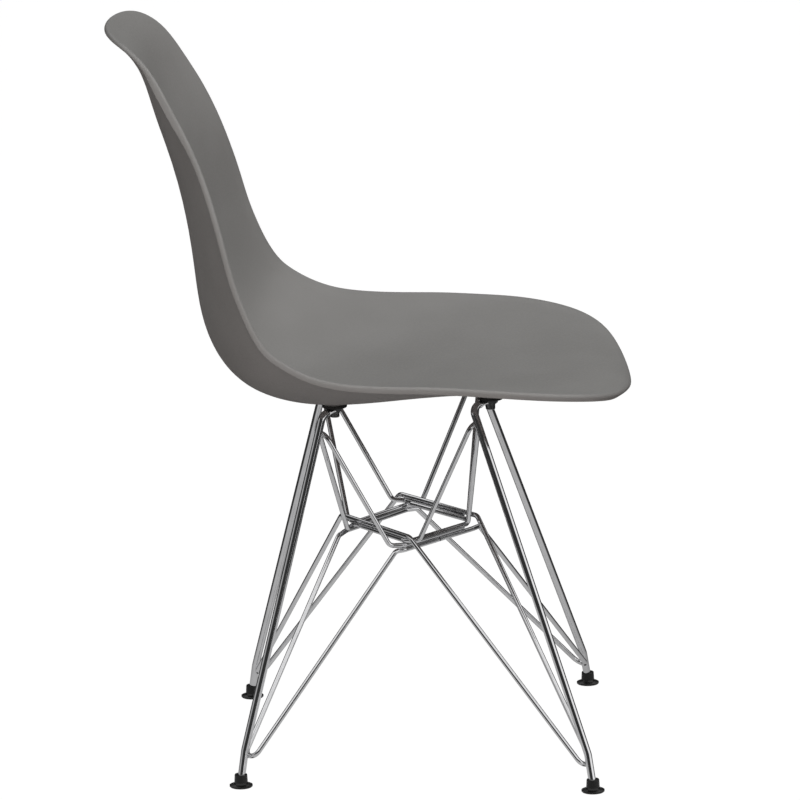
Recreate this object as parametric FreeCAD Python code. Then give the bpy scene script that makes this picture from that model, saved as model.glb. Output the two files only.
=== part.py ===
"""Side chair: a moulded plastic bucket shell on a crossed wire base of chromed steel.

Frame: origin on the floor under the middle of the chair, +Z up, the sitter faces -Y
and the sitter's left is +X. Lengths are in millimetres, angles in degrees.
"""
import FreeCAD, Part
import math
import os
from FreeCAD import Vector

os.makedirs("parts", exist_ok=True)

# Shell
SHELL_WALL = 4.6
# centre line of the shell in the middle plane (y, z), from the top lip to the front edge
SPINE = [(267.6, 771.1), (249.7, 756.2), (235.4, 737.4), (220.7, 694.3), (201.4, 632.6),
         (187.5, 571.8), (180.5, 519.9), (168.1, 454.0), (137.1, 409.3), (92.0, 388.7),
         (31.5, 384.1), (-48.3, 393.2), (-138.2, 402.6), (-218.7, 401.6), (-255.8, 394.8),
         (-267.6, 382.7)]
# cross curve: distance down the centre line, rise at CURVE_HALF_WIDTH, power of the rise
CURVE_HALF_WIDTH = 200.0
CROSS_CURVE = [(0, 37.5, 2.08), (40, 39.0, 2.09), (75, 43.0, 2.09), (115, 49.0, 2.1),
               (150, 48.0, 2.1), (190, 43.5, 2.1), (225, 41.5, 2.1), (258, 42.3, 2.12),
               (290, 46.3, 2.23), (330, 50.3, 2.35), (380, 52.2, 2.5), (411, 51.8, 2.6),
               (456, 45.8, 2.65), (490, 40.2, 2.63), (544, 33.0, 2.6), (615, 24.0, 2.58),
               (654, 18.8, 2.56), (693, 15.4, 2.54), (740, 13.8, 2.52), (812, 13.0, 2.49)]
# the rise stands square to a chord of the centre line, this far to each side
CHORD_REACH = 70.0
# outline of the shell: distance down the centre line, half width
OUTLINE = [(0.8, 28.5), (3.8, 54.0), (11.7, 87.5), (23.0, 110.5), (38.5, 127.0),
           (74.0, 150.0), (110.0, 164.5), (157.0, 180.0), (222.0, 203.5), (289.0, 215.0),
           (349.0, 222.0), (411.0, 224.0), (485.0, 226.5), (575.0, 228.0), (653.5, 230.5),
           (712.0, 226.0), (750.0, 204.5), (780.0, 159.5), (796.0, 105.0), (806.0, 48.5)]
OUTLINE_TOP = -0.3
OUTLINE_FRONT = 810.5

# Mounting bosses, pads and fixings
FRONT_SCREW = (90.0, -123.5)
REAR_SCREW = (80.0, 38.0)
# how far each boss stands below the lowest part of the wall over its pad
FRONT_BOSS_STAND = 8.8
REAR_BOSS_STAND = 0.35
PAD_RADIUS = 13.0
PAD_THICK = 3.2
PAD_EDGE = 1.2
BOSS_RADIUS = 11.5
BOSS_DRAFT = 1.5
BOSS_BLANK = 40.0
INSERT_RADIUS = 4.2
INSERT_LENGTH = 4.4
SCREW_RADIUS = 3.0
SCREW_HOLE_CLEARANCE = 0.3
SCREW_LENGTH = 11.4
HEAD_RADIUS = 5.0
HEAD_HEIGHT = 6.0
HEX_KEY = 5.0
WASHER_RADIUS = 6.4
WASHER_THICK = 1.2

# Legs: a straight rod with a bend at the foot and a hooked, flattened top
LEG_RADIUS = 4.0
TAB_WIDTH = 15.5
TAB_THICK = 3.2
TAB_EDGE = 0.4
TAB_FLAT_LENGTH = 7.0
TOP_BEND_RADIUS = 9.0
FOOT_BEND_RADIUS = 22.0
# (x, y) of the straight run at the floor, and how far it has moved at LEAN_HEIGHT
LEAN_HEIGHT = 400.0
REAR_LEG_LINE = ((174.0, 145.1), (-83.2, -101.2))
FRONT_LEG_LINE = ((211.0, -231.1), (-114.0, 131.8))
FOOT_BEND_HEIGHT = 37.0
REAR_FOOT = (173.2, 140.2)
FRONT_FOOT = (208.9, -223.5)

# Brace wires
WIRE_RADIUS = 2.6
WELD_SINK = 0.1
APEX_RADIUS = 9.0
CORNER_RADIUS = 6.0
HEEL_RADIUS = 8.0
LOW_APEX_HEIGHT_REAR = 32.0
LOW_APEX_HEIGHT_FRONT = 28.0
LOW_APEX_SIDE_REAR = (-0.43, -0.90)
LOW_APEX_SIDE_FRONT = (-0.90, 0.44)
# how far below the leg's top the upper wires are welded on
TOP_APEX_DROP_REAR = 22.7
TOP_APEX_DROP_FRONT = 21.2
TOP_APEX_SIDE_REAR = (-0.75, -0.66)
TOP_APEX_SIDE_FRONT = (-0.84, 0.54)
# the diamond where the wires cross: its corners and the height of the lowest wire
RING_SIDE_CORNER = (86.0, -31.5)
RING_REAR_CORNER = 30.5
RING_FRONT_CORNER = -102.5
RING_HEIGHT = 228.2
RUN_END_GAP = 16.0
RUN_MEET_GAP = 1.0
# where each wire comes down on the diamond: beside its side corner and its own corner
UPPER_HEEL_SIDE_REAR = (3.5, 14.6)
UPPER_HEEL_OWN_REAR = (13.0, -1.5)
UPPER_HEEL_SIDE_FRONT = (4.0, -15.6)
UPPER_HEEL_OWN_FRONT = (13.0, 4.7)
LOWER_HEEL_SIDE_REAR = (5.5, 8.5)
LOWER_HEEL_OWN_REAR = (22.0, 7.5)
LOWER_HEEL_SIDE_FRONT = (5.5, -11.0)
LOWER_HEEL_OWN_FRONT = (11.0, -6.9)

# Glides
GLIDE_RADIUS = 12.0
GLIDE_HEIGHT = 13.5
GLIDE_FLANGE = 2.2
GLIDE_COLLAR_RADIUS = 7.0
GLIDE_FLOOR = 3.0
GLIDE_CLEARANCE = 0.05
GLIDE_MOUTH_FLARE = 0.5
GLIDE_MOUTH_DEPTH = 2.5
GLIDE_EDGE = 0.8

Z = Vector(0, 0, 1)


# Small helpers for vectors, wires and tubes

def unit(v):
    return v * (1.0 / v.Length)


def table(rows, s, column):
    """Smooth value of one column of a table at s (cubic through neighbouring rows)."""
    if s <= rows[0][0]:
        return rows[0][column]
    if s >= rows[-1][0]:
        return rows[-1][column]
    i = max(k for k in range(len(rows) - 1) if rows[k][0] <= s)
    s0, s1 = rows[i][0], rows[i + 1][0]
    v0, v1 = rows[i][column], rows[i + 1][column]
    before = rows[max(i - 1, 0)]
    after = rows[min(i + 2, len(rows) - 1)]
    m0 = (v1 - before[column]) / (s1 - before[0]) * (s1 - s0)
    m1 = (after[column] - v0) / (after[0] - s0) * (s1 - s0)
    t = (s - s0) / (s1 - s0)
    return ((2 * t ** 3 - 3 * t ** 2 + 1) * v0 + (t ** 3 - 2 * t ** 2 + t) * m0
            + (3 * t ** 2 - 2 * t ** 3) * v1 + (t ** 3 - t ** 2) * m1)


def bent_wire(points, radii):
    """A path of straight runs joined by tangent arcs, one radius for each inner point."""
    edges = []
    start = points[0]
    for k in range(1, len(points) - 1):
        into = unit(points[k] - points[k - 1])
        out = unit(points[k + 1] - points[k])
        turn = into.getAngle(out)
        reach = radii[k - 1] * math.tan(turn / 2)
        a = points[k] - into * reach
        b = points[k] + out * reach
        inward = unit(out - into)
        mid = points[k] + inward * (radii[k - 1] * (1 / math.cos(turn / 2) - 1))
        edges.append(Part.LineSegment(start, a).toShape())
        edges.append(Part.Arc(a, mid, b).toShape())
        start = b
    edges.append(Part.LineSegment(start, points[-1]).toShape())
    return Part.Wire(edges)


def tube(path, radius):
    """A round bar swept along a path of lines and arcs."""
    first = path.OrderedEdges[0]
    start = first.valueAt(first.FirstParameter)
    heading = first.tangentAt(first.FirstParameter)
    ring = Part.Wire([Part.Circle(start, heading, radius).toShape()])
    return Part.Solid(path.makePipeShell([ring], True, False))


def apex_point(top, a, b, radius):
    """The corner whose rounded bend, of this radius, has its crown at the point top."""
    corner = top
    for _ in range(12):
        da = unit(a - corner)
        db = unit(b - corner)
        half = da.getAngle(db) / 2
        crown = unit(da + db) * (radius * (1 / math.sin(half) - 1))
        corner = top - crown
    return corner


def save(name, shape):
    shape.exportStep("parts/" + name + ".step")
    print("%-22s %9.0f mm3  valid %s  solids %d"
          % (name, shape.Volume, shape.isValid(), len(shape.Solids)))


# Shell: the centre line, the cross curve and the surface that they make

spine = Part.BSplineCurve()
spine.interpolate([Vector(0, y, z) for y, z in SPINE])
spine_edge = spine.toShape()
SPINE_LENGTH = spine_edge.Length


def spine_point(s):
    """Point of the centre line, run on straight past its two ends."""
    inside = min(max(s, 0.0), SPINE_LENGTH)
    at = spine_edge.getParameterByLength(inside)
    return spine_edge.valueAt(at) + spine_edge.tangentAt(at) * (s - inside)


def shell_point(s, x):
    """Middle of the wall at distance s down the shell and x from the middle plane."""
    chord = unit(spine_point(s + CHORD_REACH) - spine_point(s - CHORD_REACH))
    rise = table(CROSS_CURVE, s, 1) * (abs(x) / CURVE_HALF_WIDTH) ** table(CROSS_CURVE, s, 2)
    return spine_point(s) + Vector(x, chord.z * rise, -chord.y * rise)


def shell_normal(s, x):
    """Unit normal of the wall, on the sitter's side."""
    down = shell_point(s + 0.5, x) - shell_point(s - 0.5, x)
    across = shell_point(s, x + 0.5) - shell_point(s, x - 0.5)
    return unit(down.cross(across))


MARGIN = 7.0
BLANK_REACH = 70.0
BLANK_STEP = 8.0
BLANK_ROWS = 28
BLANK_COLUMNS = 14


def blank_half_width(s):
    """A little wider than the outline, with its rounded corners filled out."""
    near = [w for at, w in OUTLINE if abs(at - s) < BLANK_REACH]
    return max(near) + MARGIN


def smooth_half_width(s):
    steps = [blank_half_width(min(max(s + BLANK_STEP * k, 0), SPINE_LENGTH))
             for k in range(-5, 6)]
    return sum(steps) / len(steps)


row_s = [-MARGIN + (SPINE_LENGTH + 2 * MARGIN) * i / BLANK_ROWS for i in range(BLANK_ROWS + 1)]
col_t = [2.0 * j / BLANK_COLUMNS - 1 for j in range(BLANK_COLUMNS + 1)]


def wall_face(offset):
    """The wall's surface at this offset from its middle, larger than the outline."""
    grid = []
    for s in row_s:
        width = smooth_half_width(s)
        grid.append([shell_point(s, t * width) + shell_normal(s, t * width) * offset
                     for t in col_t])
    surface = Part.BSplineSurface()
    surface.interpolate(grid)
    return surface


def slab(low, high):
    """Solid between two such surfaces."""
    lower = wall_face(low)
    upper = wall_face(high)
    faces = [lower.toShape(), upper.toShape()]
    u0, u1, v0, v1 = lower.bounds()
    a0, a1, b0, b1 = upper.bounds()
    pairs = [(lower.uIso(u0), upper.uIso(a0)), (lower.uIso(u1), upper.uIso(a1)),
             (lower.vIso(v0), upper.vIso(b0)), (lower.vIso(v1), upper.vIso(b1))]
    for one, other in pairs:
        faces.append(Part.makeRuledSurface(one.toShape(), other.toShape()))
    skin = Part.Shell(faces)
    skin.sewShape()
    body = Part.Solid(skin)
    if body.Volume < 0:
        body.reverse()
    return body


# the closed outline as a smooth curve in (s, x), then laid on the wall
outline_points = [Vector(OUTLINE_TOP, 0, 0)]
outline_points += [Vector(s, w, 0) for s, w in OUTLINE]
outline_points += [Vector(OUTLINE_FRONT, 0, 0)]
outline_points += [Vector(s, -w, 0) for s, w in reversed(OUTLINE)]
outline = Part.BSplineCurve()
outline.interpolate(Points=outline_points, PeriodicFlag=True)
outline_edge = outline.toShape()
STATIONS = 80
# stations taken past the middle plane, so that the two halves meet smoothly
RUN_ON = 4


def outline_at(k):
    at = outline_edge.getParameterByLength(outline_edge.Length * k / STATIONS)
    return outline_edge.valueAt(at)


def laid(height, outset, first, last):
    """Curve along the outline, off the wall by height and outward by outset."""
    points = []
    for k in range(first, last + 1):
        here = outline_at(k % STATIONS)
        ahead = outline_at((k + 1) % STATIONS)
        behind = outline_at((k - 1) % STATIONS)
        s, x = here.x, here.y
        normal = shell_normal(s, x)
        run = shell_point(ahead.x, ahead.y) - shell_point(behind.x, behind.y)
        outward = unit(run.cross(normal))
        middle = shell_point(SPINE_LENGTH * 0.55, 0)
        if outward.dot(shell_point(s, x) - middle) < 0:
            outward = outward * -1
        points.append(shell_point(s, x) + normal * height + outward * outset)
    return points


def half_curve(height, outset):
    """One half of that curve, from the top lip to the front edge on the sitter's left."""
    half = STATIONS // 2
    points = laid(height, outset, -RUN_ON, half + RUN_ON)
    points[RUN_ON].x = 0
    points[RUN_ON + half].x = 0
    curve = Part.BSplineCurve()
    curve.interpolate(points)
    knots = curve.getKnots()
    curve.segment(knots[RUN_ON], knots[RUN_ON + half])
    return curve.toShape()


def mirrored(shape):
    return shape.mirror(Vector(0, 0, 0), Vector(1, 0, 0))


knife_reach = SHELL_WALL * 1.5
knife = Part.makeRuledSurface(half_curve(-knife_reach, 0), half_curve(knife_reach, 0))
blank = slab(-SHELL_WALL / 2, SHELL_WALL / 2)
pieces, origin = blank.generalFuse([knife, mirrored(knife)])
shell = max(pieces.Solids, key=lambda piece: piece.Area)


# Mounting bosses on the underside, with a blind bore for the threaded insert

def underside(x, y):
    """Height of the wall's lower face under the seat at this place."""
    near, far = SPINE_LENGTH * 0.5, SPINE_LENGTH
    for _ in range(40):
        s = (near + far) / 2
        point = shell_point(s, x) - shell_normal(s, x) * (SHELL_WALL / 2)
        if point.y > y:
            near = s
        else:
            far = s
    return point.z


def pad_seat(screw_xy, stand):
    """Height of the pad's lower face, where the leg's flattened end bears."""
    around = [(screw_xy[0] + PAD_RADIUS * math.cos(math.radians(a)),
               screw_xy[1] + PAD_RADIUS * math.sin(math.radians(a))) for a in range(0, 360, 45)]
    return min(underside(x, y) for x, y in around) - stand - PAD_THICK


FRONT_SEAT = pad_seat(FRONT_SCREW, FRONT_BOSS_STAND)
REAR_SEAT = pad_seat(REAR_SCREW, REAR_BOSS_STAND)
print("pad seats %.2f %.2f" % (FRONT_SEAT, REAR_SEAT))

under_cutter = wall_face(0).toShape().extrude(Z * (2 * BOSS_BLANK))

screw_places = []
for name, (x, y), seat in (("front", FRONT_SCREW, FRONT_SEAT), ("rear", REAR_SCREW, REAR_SEAT)):
    screw_places.append((name + "_right", Vector(-x, y, seat)))
    screw_places.append((name + "_left", Vector(x, y, seat)))

bosses = []
bores = []
for name, place in screw_places:
    foot = place + Z * PAD_THICK
    post = Part.makeCone(BOSS_RADIUS, BOSS_RADIUS + BOSS_DRAFT, BOSS_BLANK, foot, Z)
    bosses.append(post.cut(under_cutter))
    bores.append(Part.makeCylinder(INSERT_RADIUS, INSERT_LENGTH, foot, Z))
shell = shell.fuse(bosses)
shell = shell.cut(Part.makeCompound(bores))
save("seat_shell", shell.Solids[0] if len(shell.Solids) == 1 else shell)


# Pads, inserts, screws and washers, one set at each screw

def pad():
    hole = SCREW_RADIUS + SCREW_HOLE_CLEARANCE
    body = Part.makeCylinder(PAD_RADIUS, PAD_THICK)
    lower = [e for e in body.Edges if abs(e.CenterOfMass.z) < 0.01 and e.Closed]
    body = body.makeFillet(PAD_EDGE, lower)
    return body.cut(Part.makeCylinder(hole, PAD_THICK))


def insert():
    body = Part.makeCylinder(INSERT_RADIUS, INSERT_LENGTH)
    return body.cut(Part.makeCylinder(SCREW_RADIUS, INSERT_LENGTH))


def screw():
    """Socket cap screw pointing up, its head below the washer at z = 0."""
    shank = Part.makeCylinder(SCREW_RADIUS, SCREW_LENGTH)
    head = Part.makeCylinder(HEAD_RADIUS, HEAD_HEIGHT, Vector(0, 0, -HEAD_HEIGHT))
    low = [e for e in head.Edges if abs(e.CenterOfMass.z + HEAD_HEIGHT) < 0.01 and e.Closed]
    head = head.makeChamfer(HEAD_HEIGHT / 12, low)
    across = HEX_KEY / math.sqrt(3)
    corners = [Vector(across * math.cos(math.radians(60 * k)),
                      across * math.sin(math.radians(60 * k)), -HEAD_HEIGHT) for k in range(7)]
    socket = Part.Face(Part.makePolygon(corners)).extrude(Z * (HEAD_HEIGHT / 2))
    return head.cut(socket).fuse(shank).removeSplitter()


def washer():
    body = Part.makeCylinder(WASHER_RADIUS, WASHER_THICK)
    return body.cut(Part.makeCylinder(SCREW_RADIUS + SCREW_HOLE_CLEARANCE, WASHER_THICK))


def placed(shape, place):
    moved = shape.copy()
    moved.translate(place)
    return moved


for name, place in screw_places:
    washer_foot = place - Z * (TAB_THICK + WASHER_THICK)
    save("mount_pad_" + name, placed(pad(), place))
    save("threaded_insert_" + name, placed(insert(), place + Z * PAD_THICK))
    save("cap_screw_" + name, placed(screw(), washer_foot))
    save("washer_" + name, placed(washer(), washer_foot))


# Legs, drawn on the sitter's left and mirrored to the right

def on_line(line, z):
    (x, y), (dx, dy) = line
    rise = z / LEAN_HEIGHT
    return Vector(x + dx * rise, y + dy * rise, z)


def line_direction(line):
    return unit(Vector(line[1][0], line[1][1], LEAN_HEIGHT))


def oval(centre, along, width, height, power):
    """Rounded section square to the direction along, wide across it."""
    across = unit(Z.cross(along))
    points = []
    for k in range(16):
        c = math.cos(2 * math.pi * k / 16)
        s = math.sin(2 * math.pi * k / 16)
        u = math.copysign(abs(c) ** (2 / power), c) * width / 2
        v = math.copysign(abs(s) ** (2 / power), s) * height / 2
        points.append(centre + across * u + Z * v)
    curve = Part.BSplineCurve()
    curve.interpolate(Points=points, PeriodicFlag=True)
    return Part.Wire([curve.toShape()])


def foot_end(foot):
    """Centre of the rod's rounded lower end, inside the glide."""
    return Vector(foot[0], foot[1], GLIDE_FLOOR + GLIDE_CLEARANCE + LEG_RADIUS)


def leg(line, foot, screw_xy, seat):
    rod_top = seat - LEG_RADIUS
    hook = on_line(line, rod_top)
    screw_axis = Vector(screw_xy[0], screw_xy[1], rod_top)
    along = unit(screw_axis - hook)
    flat_start = screw_axis - along * TAB_FLAT_LENGTH
    reach = TOP_BEND_RADIUS * math.tan(line_direction(line).getAngle(along) / 2)
    round_end = hook + along * (reach + LEG_RADIUS / 8)
    end = foot_end(foot)
    path = bent_wire([end, on_line(line, FOOT_BEND_HEIGHT), hook, round_end],
                     [FOOT_BEND_RADIUS, TOP_BEND_RADIUS])
    rod = tube(path, LEG_RADIUS)
    tip = Part.makeSphere(LEG_RADIUS, end)
    tab_middle = seat - TAB_THICK / 2
    flat_middle = Vector(flat_start.x, flat_start.y, tab_middle)
    rod_end = Part.Wire([Part.Circle(round_end, along, LEG_RADIUS).toShape()])
    forged = Part.makeLoft([rod_end, oval(flat_middle, along, TAB_WIDTH - TAB_EDGE,
                                          TAB_THICK - TAB_EDGE, 4.0)], True, False)
    across = unit(Z.cross(along)) * (TAB_WIDTH / 2)
    centre = Vector(screw_axis.x, screw_axis.y, seat - TAB_THICK)
    low = Vector(flat_start.x, flat_start.y, seat - TAB_THICK)
    rounded = Part.Arc(centre - across, centre + along * (TAB_WIDTH / 2), centre + across)
    edge = Part.Wire([Part.LineSegment(low + across, low - across).toShape(),
                      Part.LineSegment(low - across, centre - across).toShape(),
                      rounded.toShape(),
                      Part.LineSegment(centre + across, low + across).toShape()])
    tab = Part.Face(edge).extrude(Z * TAB_THICK)
    hole = Part.makeCylinder(SCREW_RADIUS + SCREW_HOLE_CLEARANCE, TAB_THICK, centre, Z)
    return rod.fuse([tip, forged, tab]).cut(hole).removeSplitter(), path


def single(shape):
    return shape.Solids[0] if len(shape.Solids) == 1 else shape


rear_leg, rear_path = leg(REAR_LEG_LINE, REAR_FOOT, REAR_SCREW, REAR_SEAT)
front_leg, front_path = leg(FRONT_LEG_LINE, FRONT_FOOT, FRONT_SCREW, FRONT_SEAT)
save("leg_rear_left", single(rear_leg))
save("leg_rear_right", single(mirrored(rear_leg)))
save("leg_front_left", single(front_leg))
save("leg_front_right", single(mirrored(front_leg)))


# Brace wires. Each bends over at a leg, crosses two corners of the diamond and runs
# along the sides beyond them, so the right rear wires run on the sides that the left
# front wires share, one wire lower than the other pair

PITCH = 2 * WIRE_RADIUS - WELD_SINK / 2
# the wires that share a height on the diamond, from the lowest pair up
STACK = [("lower_rear_right", "lower_front_left"), ("upper_rear_right", "upper_front_left"),
         ("upper_rear_left", "upper_front_right"), ("lower_rear_left", "lower_front_right")]
corner_side = Vector(RING_SIDE_CORNER[0], RING_SIDE_CORNER[1], 0)
corner_rear = Vector(0, RING_REAR_CORNER, 0)
corner_front = Vector(0, RING_FRONT_CORNER, 0)


def run(start, end, shift):
    """The two ends of a side of the diamond, moved inward by shift."""
    along = unit(end - start)
    inward = Vector(-along.y, along.x, 0)
    middle = Vector(0, RING_SIDE_CORNER[1], 0)
    if inward.dot(middle - start) < 0:
        inward = inward * -1
    return start + inward * shift, end + inward * shift, along


def meets_middle(start, end, shift):
    """Where a side of the diamond, moved inward by shift, crosses the plane x = 0."""
    a, b, along = run(start, end, shift)
    return a + along * ((0 - a.x) / along.x)


def flip(v):
    return Vector(-v.x, v.y, v.z)


def at_level(v, z):
    return Vector(v.x, v.y, z)


def level_of(name):
    place = [k for k, pair in enumerate(STACK) if name in pair][0]
    return RING_HEIGHT + PITCH * place


def weld_point(path_line, height, side_xy, foot=None):
    """Axis of a wire that touches the leg's flank at this height."""
    if foot is None:
        axis = on_line(path_line, height)
        along = line_direction(path_line)
    else:
        low = foot_end(foot)
        high = on_line(path_line, FOOT_BEND_HEIGHT)
        along = unit(high - low)
        axis = low + (high - low) * ((height - low.z) / (high.z - low.z))
    out = Vector(side_xy[0], side_xy[1], 0)
    out = unit(out - along * out.dot(along))
    return axis + out * (LEG_RADIUS + WIRE_RADIUS - WELD_SINK)


def beside(corner, offset, z):
    return Vector(corner.x + offset[0], corner.y + offset[1], z)


def upper_wire(rear, z):
    """Inverted V from the top of a leg, on the sitter's left."""
    own = corner_rear if rear else corner_front
    far = corner_front if rear else corner_rear
    lane = 2 * WIRE_RADIUS
    if rear:
        top = weld_point(REAR_LEG_LINE, REAR_SEAT - TOP_APEX_DROP_REAR, TOP_APEX_SIDE_REAR)
        heel_x = beside(corner_side, UPPER_HEEL_SIDE_REAR, z)
        heel_y = beside(own, UPPER_HEEL_OWN_REAR, z)
    else:
        top = weld_point(FRONT_LEG_LINE, FRONT_SEAT - TOP_APEX_DROP_FRONT, TOP_APEX_SIDE_FRONT)
        heel_x = beside(corner_side, UPPER_HEEL_SIDE_FRONT, z)
        heel_y = beside(own, UPPER_HEEL_OWN_FRONT, z)
    # the run beyond the side corner, on the outer lane
    a, b, along = run(corner_side, far, 0)
    end_x = at_level(b - along * RUN_END_GAP, z)
    turn_x = at_level(corner_side, z)
    # the run beyond the rear or front corner, on the inner lane of the other side
    a, b, along = run(flip(corner_side), own, lane)
    turn_y = at_level(meets_middle(flip(corner_side), own, lane), z)
    end_y = at_level(a + along * RUN_END_GAP, z)
    corner = apex_point(top, heel_x, heel_y, APEX_RADIUS)
    points = [end_x, turn_x, heel_x, corner, heel_y, turn_y, end_y]
    radii = [CORNER_RADIUS, HEEL_RADIUS, APEX_RADIUS, HEEL_RADIUS, CORNER_RADIUS]
    return bent_wire(points, radii)


def lower_wire(rear, z):
    """V from the foot of a leg, on the sitter's left."""
    own = corner_rear if rear else corner_front
    far = corner_front if rear else corner_rear
    lowest = z < RING_HEIGHT + PITCH
    # a wire that lies on the other three runs on past the corners
    past = 0 if lowest else 2 * WIRE_RADIUS
    if rear:
        foot = weld_point(REAR_LEG_LINE, LOW_APEX_HEIGHT_REAR, LOW_APEX_SIDE_REAR, REAR_FOOT)
    else:
        foot = weld_point(FRONT_LEG_LINE, LOW_APEX_HEIGHT_FRONT, LOW_APEX_SIDE_FRONT,
                          FRONT_FOOT)
    a, b, along = run(corner_side, far, 0)
    length = (b - a).Length
    end_x = at_level(a + along * (length / 2 - RUN_MEET_GAP), z)
    before_x = at_level(a - along * (2 * past), z)
    c, d, along_y = run(own, flip(corner_side), 0)
    length_y = (d - c).Length
    end_y = at_level(c + along_y * (length_y / 2 - RUN_MEET_GAP), z)
    before_y = at_level(c - along_y * (1.5 * past), z)
    points_x = [end_x, before_x]
    points_y = [before_y, end_y]
    radii = [HEEL_RADIUS, APEX_RADIUS, HEEL_RADIUS]
    if lowest:
        side_heel = LOWER_HEEL_SIDE_REAR if rear else LOWER_HEEL_SIDE_FRONT
        own_heel = LOWER_HEEL_OWN_REAR if rear else LOWER_HEEL_OWN_FRONT
        points_x.append(beside(corner_side, side_heel, z))
        points_y.insert(0, beside(own, own_heel, z))
        radii = [CORNER_RADIUS, CORNER_RADIUS, APEX_RADIUS, CORNER_RADIUS, CORNER_RADIUS]
    corner = apex_point(foot, points_x[-1], points_y[0], APEX_RADIUS)
    return bent_wire(points_x + [corner] + points_y, radii)


for name in ("rear_right", "rear_left", "front_right", "front_left"):
    rear = name.startswith("rear")
    upper = tube(upper_wire(rear, level_of("upper_" + name)), WIRE_RADIUS)
    lower = tube(lower_wire(rear, level_of("lower_" + name)), WIRE_RADIUS)
    if name.endswith("right"):
        upper = mirrored(upper)
        lower = mirrored(lower)
    save("upper_brace_" + name, upper)
    save("lower_brace_" + name, lower)


# Glides: a moulded cap with a flat disc on the floor and a bore that leans with the rod

def glide(line, foot):
    edge = GLIDE_EDGE
    top = GLIDE_FLANGE + edge / 2
    profile = [(0, 0), (GLIDE_RADIUS - edge, 0), (GLIDE_RADIUS, edge),
               (GLIDE_RADIUS, GLIDE_FLANGE), (GLIDE_RADIUS - edge, top),
               (GLIDE_COLLAR_RADIUS + 1.5 * edge, top + edge),
               (GLIDE_COLLAR_RADIUS, top + 3 * edge),
               (GLIDE_COLLAR_RADIUS - edge / 2, GLIDE_HEIGHT - edge),
               (GLIDE_COLLAR_RADIUS - edge, GLIDE_HEIGHT), (0, GLIDE_HEIGHT), (0, 0)]
    half = Part.Face(Part.makePolygon([Vector(r, 0, z) for r, z in profile]))
    body = half.revolve(Vector(0, 0, 0), Z, 360)
    body.translate(Vector(foot[0], foot[1], 0))
    end = foot_end(foot)
    lean = unit(on_line(line, FOOT_BEND_HEIGHT) - end)
    bore_radius = LEG_RADIUS + GLIDE_CLEARANCE
    bore = Part.makeCylinder(bore_radius, 3 * GLIDE_HEIGHT, end, lean)
    mouth = (GLIDE_HEIGHT - end.z) / lean.z
    flare_start = end + lean * (mouth - GLIDE_MOUTH_DEPTH)
    flare = Part.makeCone(bore_radius, bore_radius + 3 * GLIDE_MOUTH_FLARE,
                          3 * GLIDE_MOUTH_DEPTH, flare_start, lean)
    seat = Part.makeSphere(bore_radius, end)
    return body.cut(bore.fuse([seat, flare]))


rear_glide = glide(REAR_LEG_LINE, REAR_FOOT)
front_glide = glide(FRONT_LEG_LINE, FRONT_FOOT)
save("glide_rear_left", single(rear_glide))
save("glide_rear_right", single(mirrored(rear_glide)))
save("glide_front_left", single(front_glide))
save("glide_front_right", single(mirrored(front_glide)))
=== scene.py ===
"""Looks of the side chair: moulded plastic shell on a crossed base of chromed wire.

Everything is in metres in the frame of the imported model: floor at z = 0, +Z up, the
sitter faces -Y. The camera stands at -X, at the sitter's right.
"""

import math

import bmesh
import bpy
from mathutils import Matrix, Vector
from mathutils.bvhtree import BVHTree


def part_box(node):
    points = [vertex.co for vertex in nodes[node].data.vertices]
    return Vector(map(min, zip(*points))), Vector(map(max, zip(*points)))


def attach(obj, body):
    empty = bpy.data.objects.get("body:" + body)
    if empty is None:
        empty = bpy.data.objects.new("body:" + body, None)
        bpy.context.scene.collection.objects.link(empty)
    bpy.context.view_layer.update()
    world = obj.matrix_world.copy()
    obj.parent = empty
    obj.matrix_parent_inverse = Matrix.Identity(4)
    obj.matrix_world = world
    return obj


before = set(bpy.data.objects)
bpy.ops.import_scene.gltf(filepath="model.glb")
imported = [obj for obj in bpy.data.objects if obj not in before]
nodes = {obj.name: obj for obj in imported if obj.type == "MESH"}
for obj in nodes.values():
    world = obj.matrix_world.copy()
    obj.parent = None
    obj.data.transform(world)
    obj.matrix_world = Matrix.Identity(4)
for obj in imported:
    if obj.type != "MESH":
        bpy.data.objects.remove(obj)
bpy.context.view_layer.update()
scene = bpy.context.scene

# Rolled rim: its section on a flat wall, as (outward from the edge, towards the sitter)
RIM_STATIONS = 420
HALF_WALL = 0.00222
RIM_SECTION = [(-0.0190, 0.0010), (-0.0170, 0.00212), (-0.0135, 0.00226), (-0.0100, 0.00246),
               (-0.0068, 0.00272), (-0.0040, 0.00290), (-0.0018, 0.00288), (-0.0002, 0.00252),
               (0.0008, 0.0018), (0.0014, 0.0008), (0.0016, -0.0004), (0.0014, -0.0015),
               (0.0009, -0.0027), (0.0003, -0.0038), (-0.0003, -0.0047), (-0.0005, -0.0049),
               (-0.0008, -0.00495), (-0.0012, -0.0048), (-0.0030, -0.0036), (-0.0052, -0.0014)]
# How deep the lip stands behind the wall, as a share of the section's depth, by height
LIP_SHARES = [(0.46, 1.0), (0.51, 0.6), (0.65, 0.5), (0.71, 1.4), (0.725, 1.4), (0.76, 0.15)]

# How the shell's edge is found: creases sharper than this many degrees, in loops longer than
# this many metres, once points this close together are joined
CREASE_ANGLE = 45
LEAST_LOOP = 1.0
SAME_POINT = 1e-6
# Rounds of smoothing for the edge's middle line, for its direction through the wall and for
# the bend of the wall next to it
MIDDLE_ROUNDS = 4
THROUGH_ROUNDS = 6
BEND_ROUNDS = 8
# The ray that looks for the wall starts this far off on the sitter's side and is this long
RAY_LEAD = 0.02
RAY_LENGTH = 0.04

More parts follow.
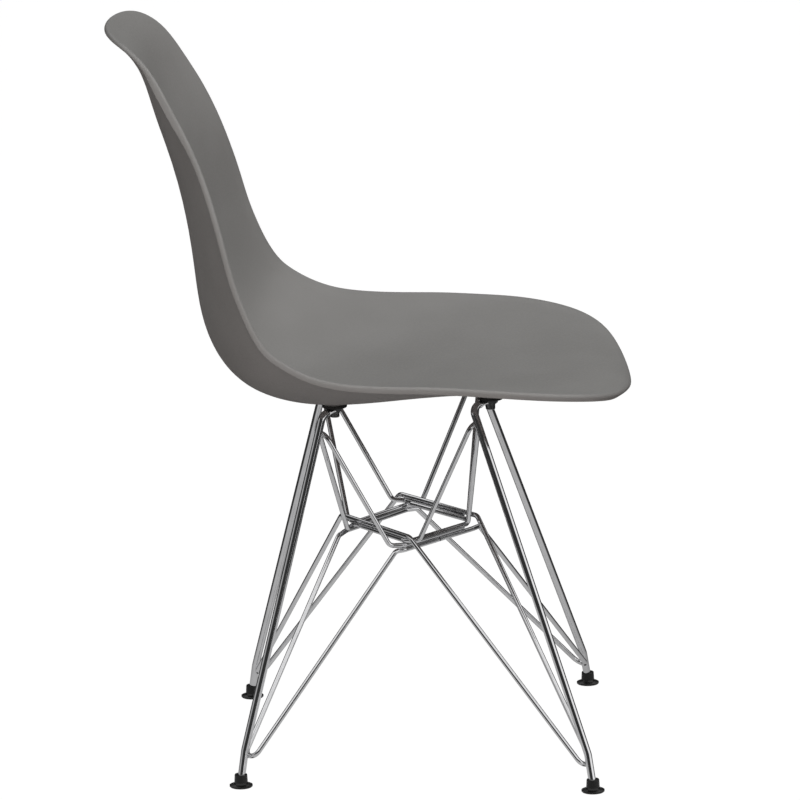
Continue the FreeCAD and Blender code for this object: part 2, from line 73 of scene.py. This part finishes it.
# Weld beads: half the height and half of both widths, and the ripple in their skin
WELD_HALF_SIZE = (0.0036, 0.0027, 0.0026)
WELD_ROUNDNESS = 3
WELD_RIPPLE = 0.07
WELD_WAVES = (9, 2, 5)
# A brace touches its leg where its points are this close to it
TOUCH = 0.00035

# Camera: what it looks at, its angles in degrees, its distance and its lens in millimetres
CAMERA_TARGET = Vector((0.0, -0.0285, 0.3681))
CAMERA_PITCH = 13.1
CAMERA_YAW = 1.0
CAMERA_ROLL = -1.05
CAMERA_DISTANCE = 7.3298
CAMERA_LENS = 315.0
CAMERA_SENSOR = 36.0
CAMERA_SEES_TO = 60

# Floor: how bright the camera sees it, how much of that is its own light rather than the
# lamps', and the pool of light round a point that polished metal sees on it
FLOOR_REACH = 9
FLOOR_SEEN = 1.10
FLOOR_SHARE = 0.90
POOL_MIDDLE = (-0.45, 0.0, 0.0)
POOL_LIT_TO = 0.60
POOL_DARK_FROM = 0.95
POOL_LEVEL = 0.52

# Room: its level for diffuse light, and its level where metal sees neither panel nor pool
SKY = 0.25
ROOM_DARK = 0.035
# What polished metal sees round the chair: brightness against how far a direction
# points to the rear, from 0 for straight ahead of the chair to 1 for straight behind it
ROOM_PANELS = [(0.00, 1.00), (0.22, 1.00), (0.26, ROOM_DARK), (0.86, ROOM_DARK),
               (0.90, 0.42), (1.00, 0.42)]
# The panels fade out over this range of a direction's x, so the far side of the room is dark
PANELS_FADE = (0.10, 0.16)
# The ceiling comes up over this range of a direction's z, to this level
CEILING_RISE = (0.50, 0.64)
CEILING = 0.95

# Colours, linear
WHITE = (1.0, 1.0, 1.0, 1)
PLASTIC_DARK = (0.196, 0.194, 0.188, 1)
PLASTIC_LIGHT = (0.214, 0.212, 0.206, 1)
CHROME_DARK = (0.70, 0.70, 0.71, 1)
CHROME_LIGHT = (0.80, 0.80, 0.81, 1)
BRASS_DARK = (0.50, 0.33, 0.12, 1)
BRASS_LIGHT = (0.62, 0.43, 0.18, 1)
FLOOR_DARK = (0.47, 0.42, 0.41, 1)
FLOOR_LIGHT = (0.51, 0.46, 0.45, 1)
NEUTRAL_LIGHT = (1.0, 1.0, 1.0)
WARM_LIGHT = (1.0, 0.96, 0.95)

# Softboxes: place, what each points at, width and height, watts and colour
SOFTBOXES = {"top": ((-0.3, -0.75, 2.5), (0, -0.1, 0.4), (1.2, 1.2), 25, NEUTRAL_LIGHT),
             "key": ((-3.0, -0.7, 1.8), (0, 0, 0.45), (0.9, 1.2), 51, WARM_LIGHT),
             "edge": ((-1.6, 2.3, 0.8), (0, 0.1, 0.5), (0.7, 1.2), 17, WARM_LIGHT)}

# The range that most values of a noise texture lie in
MOST = (0.3, 0.7)


# Materials

class Nodes:
    """Short way to build the node tree of one material or world."""

    def __init__(self, owner, output="OutputMaterial"):
        self.owner = owner
        owner.use_nodes = True
        self.tree = owner.node_tree
        self.tree.nodes.clear()
        self.out = self.add(output)

    def add(self, kind, links=None, **values):
        """A node. Links give its inputs sockets or values; values also set its options."""
        node = self.tree.nodes.new("ShaderNode" + kind)
        for key, value in values.items():
            if hasattr(node, key):
                setattr(node, key, value)
            else:
                node.inputs[key.replace("_", " ")].default_value = value
        for key, source in (links or {}).items():
            if isinstance(source, bpy.types.NodeSocket):
                self.tree.links.new(source, node.inputs[key])
            else:
                node.inputs[key].default_value = source
        return node

    def coords(self):
        return self.add("TexCoord").outputs["Object"]

    def noise(self, coords, scale, detail, roughness):
        return self.add("TexNoise", {"Vector": coords, "Scale": scale, "Detail": detail,
                                     "Roughness": roughness}).outputs["Fac"]

    def ramp(self, source, reach, dark, light):
        """From one colour to another as source goes through a range of values."""
        node = self.add("ValToRGB", {"Fac": source})
        first, last = node.color_ramp.elements
        first.position, last.position = reach
        first.color, last.color = dark, light
        return node.outputs["Color"]

    def span(self, source, reach, onto):
        """Source mapped from one range of values onto another, and held at its ends."""
        return self.add("MapRange", {"Value": source, "From Min": reach[0], "From Max": reach[1],
                                     "To Min": onto[0], "To Max": onto[1]}).outputs["Result"]

    def calc(self, operation, first, second):
        """One sum of two sockets or numbers."""
        return self.add("Math", {0: first, 1: second}, operation=operation).outputs[0]

    def mix(self, share, first, second):
        """Two shaders mixed: share is how much of the second."""
        return self.add("MixShader", {"Fac": share, 1: first, 2: second}).outputs[0]

    def bump(self, height, distance, strength, under=None):
        """Relief from a height, on top of the relief under it."""
        node = self.add("Bump", {"Height": height, "Distance": distance, "Strength": strength})
        if under is not None:
            self.tree.links.new(under, node.inputs["Normal"])
        return node.outputs["Normal"]

    def surface(self, colour, rough, relief=None, **values):
        """The finished material, with all else that its shader takes as values."""
        node = self.add("BsdfPrincipled", {"Base Color": colour, "Roughness": rough}, **values)
        if relief is not None:
            self.tree.links.new(relief, node.inputs["Normal"])
        return self.finish(node.outputs["BSDF"])

    def finish(self, shader):
        self.tree.links.new(shader, self.out.inputs["Surface"])
        return self.owner


def new_material(name):
    return Nodes(bpy.data.materials.new(name))


def grey(level):
    return (level, level, level, 1)


def make_plastic():
    """Moulded shell: satin warm grey with a fine spark-eroded grain and soft flow marks."""
    n = new_material("moulded_grey_plastic")
    at = n.coords()
    grain = n.noise(at, scale=1500, detail=2.0, roughness=0.6)
    coarse = n.noise(at, scale=420, detail=2.0, roughness=0.5)
    flow = n.noise(at, scale=9, detail=2.0, roughness=0.5)
    colour = n.ramp(flow, (0.35, 0.65), PLASTIC_DARK, PLASTIC_LIGHT)
    rough = n.span(coarse, MOST, onto=(0.46, 0.56))
    relief = n.bump(coarse, distance=0.00009, strength=0.5)
    relief = n.bump(grain, distance=0.00006, strength=0.6, under=relief)
    return n.surface(colour, rough, relief, Specular_IOR_Level=0.34)


def make_chrome():
    """Polished plating, with a faint haze here and there."""
    n = new_material("chrome_plate")
    haze = n.noise(n.coords(), scale=60, detail=3.0, roughness=0.6)
    colour = n.ramp(haze, MOST, CHROME_DARK, CHROME_LIGHT)
    rough = n.span(haze, MOST, onto=(0.04, 0.11))
    return n.surface(colour, rough, Metallic=1.0)


def make_weld():
    """Weld metal under the same plating, duller and rippled."""
    n = new_material("plated_weld")
    ripple = n.noise(n.coords(), scale=900, detail=2.0, roughness=0.5)
    colour = n.ramp(ripple, MOST, dark=grey(0.42), light=grey(0.66))
    rough = n.span(ripple, MOST, onto=(0.16, 0.3))
    relief = n.bump(ripple, distance=0.0003, strength=0.6)
    return n.surface(colour, rough, relief, Metallic=1.0)


def make_rubber():
    """Mounting pads: matt black rubber with a little dust."""
    n = new_material("black_rubber")
    at = n.coords()
    grain = n.noise(at, scale=1300, detail=2.0, roughness=0.6)
    dust = n.noise(at, scale=90, detail=3.0, roughness=0.6)
    colour = n.ramp(dust, (0.35, 0.75), dark=grey(0.012), light=grey(0.024))
    rough = n.span(dust, MOST, onto=(0.6, 0.78))
    relief = n.bump(grain, distance=0.0001, strength=0.5)
    return n.surface(colour, rough, relief, Specular_IOR_Level=0.35)


def make_nylon():
    """Glides: black moulded nylon, a little scuffed near the floor."""
    n = new_material("black_nylon")
    at = n.coords()
    height = n.add("SeparateXYZ", {"Vector": at}).outputs["Z"]
    scuff = n.noise(at, scale=700, detail=3.0, roughness=0.65)
    clean = n.ramp(scuff, (0.45, 0.75), dark=grey(0.003), light=grey(0.007))
    worn = n.span(height, (0.0, 0.003), onto=(0.35, 0.0))
    colour = n.add("MixRGB", {"Fac": worn, "Color1": clean, "Color2": grey(0.014)})
    rough = n.span(scuff, (0.35, 0.7), onto=(0.26, 0.38))
    relief = n.bump(scuff, distance=0.00008, strength=0.4)
    return n.surface(colour.outputs["Color"], rough, relief, Specular_IOR_Level=0.42)


def make_black_oxide():
    """Screws and washers: oiled black oxide on turned steel."""
    n = new_material("black_oxide_steel")
    mottle = n.noise(n.coords(), scale=500, detail=4.0, roughness=0.65)
    colour = n.ramp(mottle, MOST, dark=grey(0.17), light=grey(0.28))
    rough = n.span(mottle, MOST, onto=(0.22, 0.34))
    relief = n.bump(mottle, distance=0.00005, strength=0.4)
    return n.surface(colour, rough, relief, Metallic=1.0)


def make_brass():
    """Threaded inserts: hazy brass with the rings of the turning tool."""
    n = new_material("turned_brass")
    at = n.coords()
    rings = n.add("TexWave", {"Vector": at, "Scale": 700.0}, bands_direction="Z")
    haze = n.noise(at, scale=300, detail=3.0, roughness=0.6)
    colour = n.ramp(haze, MOST, BRASS_DARK, BRASS_LIGHT)
    rough = n.span(haze, MOST, onto=(0.22, 0.34))
    relief = n.bump(rings.outputs["Fac"], distance=0.0001, strength=0.4)
    return n.surface(colour, rough, relief, Metallic=1.0)


plastic = make_plastic()
chrome = make_chrome()
weld = make_weld()
# The finish of each kind of piece, by what its name starts with
finish_of = {"seat_shell": plastic, "leg": chrome, "upper_brace": chrome, "lower_brace": chrome,
             "mount_pad": make_rubber(), "glide": make_nylon(), "threaded_insert": make_brass()}
finish_of["cap_screw"] = finish_of["washer"] = make_black_oxide()

for name, node in nodes.items():
    kind = next(k for k in finish_of if name.startswith(k))
    node.data.materials.clear()
    node.data.materials.append(finish_of[kind])


# Meshes

def world_tree(name):
    """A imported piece's mesh, ready for rays and nearest points."""
    mesh = nodes[name].data
    return BVHTree.FromPolygons([v.co for v in mesh.vertices],
                                [p.vertices for p in mesh.polygons])


def add_mesh(name, verts, faces, material):
    """A smooth new piece of the object, which moves with the root body."""
    mesh = bpy.data.meshes.new(name)
    mesh.from_pydata([tuple(v) for v in verts], [], faces)
    mesh.update()
    bm = bmesh.new()
    bm.from_mesh(mesh)
    bmesh.ops.recalc_face_normals(bm, faces=bm.faces)
    bm.to_mesh(mesh)
    bm.free()
    for polygon in mesh.polygons:
        polygon.use_smooth = True
    obj = bpy.data.objects.new(name, mesh)
    scene.collection.objects.link(obj)
    obj.data.materials.append(material)
    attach(obj, "root")


# Rolled rim, swept along the middle of the shell's edge

def long_loops(mesh):
    """The long closed chains of creases in a mesh, as lists of points."""
    bm = bmesh.new()
    bm.from_mesh(mesh)
    bmesh.ops.remove_doubles(bm, verts=bm.verts, dist=SAME_POINT)
    creases = {e for e in bm.edges if e.calc_face_angle(0.0) > math.radians(CREASE_ANGLE)}
    loops = []
    for start in bm.edges:
        if start not in creases:
            continue
        creases.discard(start)
        chain = [start.verts[0], start.verts[1]]
        # onward from one end, then, turned round, from the other
        for _ in range(2):
            onward = start
            while onward:
                found = [e for e in chain[-1].link_edges if e in creases]
                onward = found[0] if found else None
                if onward:
                    creases.discard(onward)
                    chain.append(onward.other_vert(chain[-1]))
            chain.reverse()
        points = [v.co.copy() for v in chain]
        if sum((a - b).length for a, b in zip(points, points[1:])) > LEAST_LOOP:
            loops.append(points)
    bm.free()
    return loops


def resampled(points, count):
    """Evenly spaced points along a closed chain, which starts and ends at one point."""
    steps = [(a - b).length for a, b in zip(points, points[1:])]
    total = sum(steps)
    made = []
    k = 0
    passed = 0.0
    for i in range(count):
        want = total * i / count
        while passed + steps[k] < want:
            passed += steps[k]
            k += 1
        made.append(points[k].lerp(points[k + 1], (want - passed) / steps[k]))
    return made


def nearest_on(points, p):
    """Nearest point of a chain to p."""
    best = None
    for a, b in zip(points, points[1:]):
        along = b - a
        t = min(max((p - a).dot(along) / along.length_squared, 0), 1)
        q = a + along * t
        if best is None or (q - p).length < (best - p).length:
            best = q
    return best


def smoothed(values, rounds):
    """Values round a closed loop, each drawn towards its neighbours once per round."""
    count = len(values)
    for _ in range(rounds):
        values = [(values[k - 1] + values[k] * 2 + values[(k + 1) % count]) / 4
                  for k in range(count)]
    return values


def rim_stations(inner, outer):
    """Frames along the edge's middle: point, direction outward, direction to the sitter."""
    side_a = resampled(inner, RIM_STATIONS)
    side_b = [nearest_on(outer, p) for p in side_a]
    middle = smoothed([(a + b) / 2 for a, b in zip(side_a, side_b)], MIDDLE_ROUNDS)
    through = smoothed([(a - b).normalized() for a, b in zip(side_a, side_b)], THROUGH_ROUNDS)
    centre = sum(middle, Vector()) / len(middle)
    stations = []
    for k, point in enumerate(middle):
        run = (middle[(k + 1) % RIM_STATIONS] - middle[k - 1]).normalized()
        thick = (through[k] - run * through[k].dot(run)).normalized()
        outward = run.cross(thick)
        if outward.dot(point - centre) < 0:
            outward.negate()
        stations.append((point, outward, thick))
    return stations


def wall_bend(wall, station, outward_by):
    """How far the wall has left the plane of its edge, this far from the edge."""
    point, outward, thick = station
    if outward_by > -HALF_WALL:
        return 0.0
    start = point + outward * outward_by + thick * RAY_LEAD
    hit = wall.ray_cast(start, -thick, RAY_LENGTH)[0]
    return (hit - point).dot(thick) - HALF_WALL if hit else 0.0


def lip_depth(depth, height):
    """A depth of the section, changed behind the wall to the lip's share at this height."""
    if depth > -HALF_WALL:
        return depth
    share = LIP_SHARES[0][1]
    for (low, low_share), (high, high_share) in zip(LIP_SHARES, LIP_SHARES[1:]):
        t = min(max((height - low) / (high - low), 0.0), 1.0)
        share += (high_share - low_share) * t * t * (3 - 2 * t)
    return -HALF_WALL + (depth + HALF_WALL) * share


def add_rolled_rim():
    """The rim as one closed tube of the section, bent to lie on the wall."""
    # of the edge's two loops, the one on the sitter's side reaches higher
    inner, outer = sorted(long_loops(nodes["seat_shell"].data),
                          key=lambda loop: -max(p.z for p in loop))
    stations = rim_stations(inner, outer)
    wall = world_tree("seat_shell")
    bends = [smoothed([wall_bend(wall, station, o) for station in stations], BEND_ROUNDS)
             for o, _ in RIM_SECTION]
    verts = []
    for k, (point, outward, thick) in enumerate(stations):
        verts += [point + outward * o + thick * (lip_depth(d, point.z) + bend[k])
                  for (o, d), bend in zip(RIM_SECTION, bends)]
    size = len(RIM_SECTION)
    faces = []
    for k in range(RIM_STATIONS):
        a, b = k * size, (k + 1) % RIM_STATIONS * size
        for i in range(size):
            j = (i + 1) % size
            faces.append((a + i, a + j, b + j, b + i))
    add_mesh("rolled_rim", verts, faces, plastic)


add_rolled_rim()


# Welds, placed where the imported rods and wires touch

def touching(one, other):
    """Points of node one that all but touch node other."""
    tree = world_tree(other)
    low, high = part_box(other)
    reach = Vector((TOUCH,) * 3)
    low, high = low - reach, high + reach
    found = []
    for vertex in nodes[one].data.vertices:
        p = vertex.co
        if all(low[k] <= p[k] <= high[k] for k in range(3)):
            if tree.find_nearest(p, TOUCH)[0] is not None:
                found.append(p.copy())
    return found


def add_weld(name, place):
    """A lump of weld metal, longest upward, with a rippled skin."""
    bm = bmesh.new()
    bmesh.ops.create_icosphere(bm, subdivisions=WELD_ROUNDNESS, radius=1.0)
    upright = Vector((0, 0, 1)).to_track_quat("X", "Z")
    for v in bm.verts:
        x, y, z = (c * wave for c, wave in zip(v.co, WELD_WAVES))
        swell = 1 + WELD_RIPPLE * math.sin(x + y) * math.cos(z)
        v.co = place + upright @ Vector([c * s * swell for c, s in zip(v.co, WELD_HALF_SIZE)])
    verts = [v.co.copy() for v in bm.verts]
    faces = [[v.index for v in f.verts] for f in bm.faces]
    bm.free()
    add_mesh(name, verts, faces, weld)


for corner in ("rear_right", "rear_left", "front_right", "front_left"):
    for level in ("upper", "lower"):
        points = touching(level + "_brace_" + corner, "leg_" + corner)
        if points:
            add_weld("weld_" + level + "_" + corner, sum(points, Vector()) / len(points))


# Camera

def camera_place():
    """Where the camera stands and how it is turned."""
    pitch, yaw, roll = (math.radians(a) for a in (CAMERA_PITCH, CAMERA_YAW, CAMERA_ROLL))
    ahead = Vector((math.cos(pitch) * math.cos(yaw), math.cos(pitch) * math.sin(yaw),
                    -math.sin(pitch)))
    right = Vector((math.sin(yaw), -math.cos(yaw), 0))
    up = right.cross(ahead)
    right, up = (right * math.cos(roll) + up * math.sin(roll),
                 up * math.cos(roll) - right * math.sin(roll))
    turn = Matrix((right, up, -ahead)).transposed().to_4x4()
    return Matrix.Translation(CAMERA_TARGET - ahead * CAMERA_DISTANCE) @ turn


camera_data = bpy.data.cameras.new("camera")
camera_data.lens = CAMERA_LENS
camera_data.sensor_width = CAMERA_SENSOR
camera_data.sensor_fit = "HORIZONTAL"
camera_data.clip_end = CAMERA_SEES_TO
camera = bpy.data.objects.new("camera", camera_data)
scene.collection.objects.link(camera)
camera.matrix_world = camera_place()
scene.camera = camera


# Floor, room and lights

def make_floor():
    """White for the camera with a faint shadow, a lit pool for metal, plain for the rest."""
    n = new_material("floor")
    at = n.coords()
    mottle = n.noise(at, scale=3.0, detail=3.0, roughness=0.55)
    colour = n.ramp(mottle, MOST, FLOOR_DARK, FLOOR_LIGHT)
    diffuse = n.add("BsdfDiffuse", {"Color": colour}).outputs["BSDF"]
    ray = n.add("LightPath").outputs
    seen, mirrored = ray["Is Camera Ray"], ray["Is Glossy Ray"]
    away = n.add("VectorMath", {0: at, 1: POOL_MIDDLE}, operation="DISTANCE")
    pool = n.span(away.outputs["Value"], (POOL_LIT_TO, POOL_DARK_FROM),
                  onto=(POOL_LEVEL, ROOM_DARK))
    level = n.calc("ADD", n.calc("MULTIPLY", seen, FLOOR_SEEN),
                   n.calc("MULTIPLY", mirrored, pool))
    glow = n.add("Emission", {"Color": WHITE, "Strength": level}).outputs["Emission"]
    share = n.calc("MAXIMUM", n.calc("MULTIPLY", seen, FLOOR_SHARE), mirrored)
    return n.finish(n.mix(share, diffuse, glow))


floor_mesh = bpy.data.meshes.new("floor")
floor_mesh.from_pydata([(x * FLOOR_REACH, y * FLOOR_REACH, 0)
                        for x, y in ((-1, -1), (1, -1), (1, 1), (-1, 1))], [], [(0, 1, 2, 3)])
floor = bpy.data.objects.new("floor", floor_mesh)
floor_mesh.materials.append(make_floor())
scene.collection.objects.link(floor)


def make_world():
    """White to the camera, dim for diffuse light, and a dark studio for metal to reflect."""
    n = Nodes(bpy.data.worlds.new("studio"), "OutputWorld")
    direction = n.add("TexCoord").outputs["Generated"]
    toward = n.add("SeparateXYZ", {"Vector": direction}).outputs
    panels = n.add("ValToRGB", {"Fac": n.span(toward["Y"], (-1.0, 1.0), onto=(0.0, 1.0))})
    stops = panels.color_ramp.elements
    for place, _ in ROOM_PANELS[1:-1]:
        stops.new(place)
    for stop, (place, level) in zip(stops, ROOM_PANELS):
        stop.position, stop.color = place, grey(level)
    sides = n.calc("MINIMUM", panels.outputs["Color"],
                   n.span(toward["X"], PANELS_FADE, onto=(1.0, ROOM_DARK)))
    room = n.calc("MAXIMUM", sides, n.span(toward["Z"], CEILING_RISE, onto=(0.0, CEILING)))
    in_metal, sky, white = (
        n.add("Background", {"Color": WHITE, "Strength": level}).outputs[0]
        for level in (room, SKY, 1.0))
    ray = n.add("LightPath").outputs
    seen = n.calc("MAXIMUM", ray["Is Camera Ray"], ray["Is Transmission Ray"])
    unseen = n.mix(ray["Is Glossy Ray"], sky, in_metal)
    return n.finish(n.mix(seen, unseen, white))


scene.world = make_world()


def softbox(name, place, target, size, power, colour):
    """A rectangular lamp, which doesn't show in polished metal."""
    light = bpy.data.lights.new(name, "AREA")
    light.color = colour
    light.shape = "RECTANGLE"
    light.size, light.size_y = size
    light.energy = power
    lamp = bpy.data.objects.new(name, light)
    scene.collection.objects.link(lamp)
    lamp.location = place
    lamp.visible_glossy = False
    aim = Vector(target) - Vector(place)
    lamp.rotation_euler = aim.to_track_quat("-Z", "Y").to_euler()


for name, settings in SOFTBOXES.items():
    softbox(name, *settings)

scene.view_settings.view_transform = "Standard"
